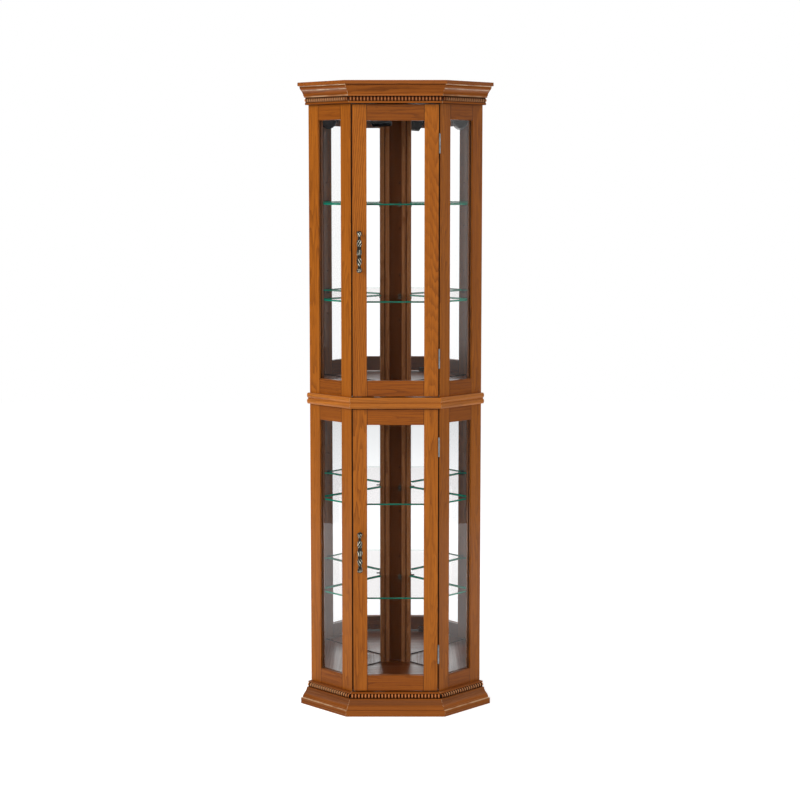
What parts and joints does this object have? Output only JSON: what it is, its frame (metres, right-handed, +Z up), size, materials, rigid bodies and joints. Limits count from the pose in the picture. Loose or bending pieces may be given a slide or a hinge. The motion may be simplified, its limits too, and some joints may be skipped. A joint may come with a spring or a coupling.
{
  "type": "corner curio cabinet",
  "caption": "Tall five-sided corner display cabinet with two glazed doors, glass sides, mirrored back walls, glass shelves, beaded crown and plinth, and a ceiling lamp.",
  "frame": {"origin": "middle of the cabinet's plan box, on the floor", "axes": "+Z up, -Y out of the flat front with its doors, +X to the right seen from the front"},
  "size_m": [0.5464, 0.4068, 1.772],
  "materials": {
    "oak_frame": "satin honey lacquer over upright oak grain",
    "oak_moulding": "satin honey lacquer over lengthwise oak grain",
    "oak_bead": "satin honey lacquer, darker in the channels",
    "oak_board": "glossy honey lacquer",
    "oak_post": "satin lacquer",
    "oak_plain": "unfinished",
    "backing_board": "smooth brown hardboard",
    "clear_glass": "polished",
    "shelf_glass": "polished, green at the edges",
    "mirror_glass": "silvered",
    "antique_pewter": "antiqued pewter plate",
    "hinge_steel": "dull plated steel",
    "strike_steel": "zinc plate",
    "catch_case": "brown plastic",
    "support_metal": "dark plated steel",
    "black_enamel": "gloss black",
    "lamp_glass": "frosted",
    "rubber_bush": "matte"
  },
  "bodies": {
    "cabinet": {"ceiling_board": "oak_board", "cord_grommet": "rubber_bush", "crown_beads": "oak_bead", "crown_front": "oak_moulding", "crown_left": "oak_moulding", "crown_right": "oak_moulding", "door_catches": "catch_case", "floor_board": "oak_board", "frame_hinge_leaves": "hinge_steel", "lamp_bracket": "black_enamel", "left_back_panel": "backing_board", "lower_bottom_shelf": "shelf_glass", "lower_ceiling_board": "oak_board", "lower_corner_post": "oak_post", "lower_left_mirror": "mirror_glass", "lower_left_side_glass": "clear_glass", "lower_left_side_rails": "oak_frame", "lower_left_side_stiles": "oak_frame", "lower_right_mirror": "mirror_glass", "lower_right_side_glass": "clear_glass", "lower_right_side_rails": "oak_frame", "lower_right_side_stiles": "oak_frame", "lower_top_shelf": "shelf_glass", "plinth_back_rails": "oak_plain", "plinth_beads": "oak_bead", "plinth_front": "oak_moulding", "plinth_left": "oak_moulding", "plinth_right": "oak_moulding", "right_back_panel": "backing_board", "shelf_supports": "support_metal", "top_board": "oak_board", "upper_bottom_shelf": "shelf_glass", "upper_corner_post": "oak_post", "upper_floor_board": "oak_board", "upper_left_mirror": "mirror_glass", "upper_left_side_glass": "clear_glass", "upper_left_side_rails": "oak_frame", "upper_left_side_stiles": "oak_frame", "upper_right_mirror": "mirror_glass", "upper_right_side_glass": "clear_glass", "upper_right_side_rails": "oak_frame", "upper_right_side_stiles": "oak_frame", "upper_top_shelf": "shelf_glass", "waist_front": "oak_moulding", "waist_left": "oak_moulding", "waist_right": "oak_moulding"},
    "upper_door": {"upper_door_glass": "clear_glass", "upper_door_handle": "antique_pewter", "upper_door_hinge_leaves": "hinge_steel", "upper_door_rails": "oak_frame", "upper_door_stiles": "oak_frame", "upper_door_strike": "strike_steel"},
    "lower_door": {"lower_door_glass": "clear_glass", "lower_door_handle": "antique_pewter", "lower_door_hinge_leaves": "hinge_steel", "lower_door_rails": "oak_frame", "lower_door_stiles": "oak_frame", "lower_door_strike": "strike_steel"},
    "lamp": {"lamp_can": "black_enamel", "lamp_lens": "lamp_glass"}
  },
  "joints": [
    {"name": "upper_door_hinge", "type": "hinge", "parent": "cabinet", "child": "upper_door", "pos_m": [0.12112, -0.16503, 1.30625], "axis": [0, 0, 1], "range_deg": [0, 165]},
    {"name": "lower_door_hinge", "type": "hinge", "parent": "cabinet", "child": "lower_door", "pos_m": [0.12112, -0.16503, 0.46575], "axis": [0, 0, 1], "range_deg": [0, 165]},
    {"name": "lamp_swivel", "type": "hinge", "parent": "cabinet", "child": "lamp", "pos_m": [-0.026, 0, 1.676], "axis": [0, -1, 0], "range_deg": [-4, 80]}
  ]
}
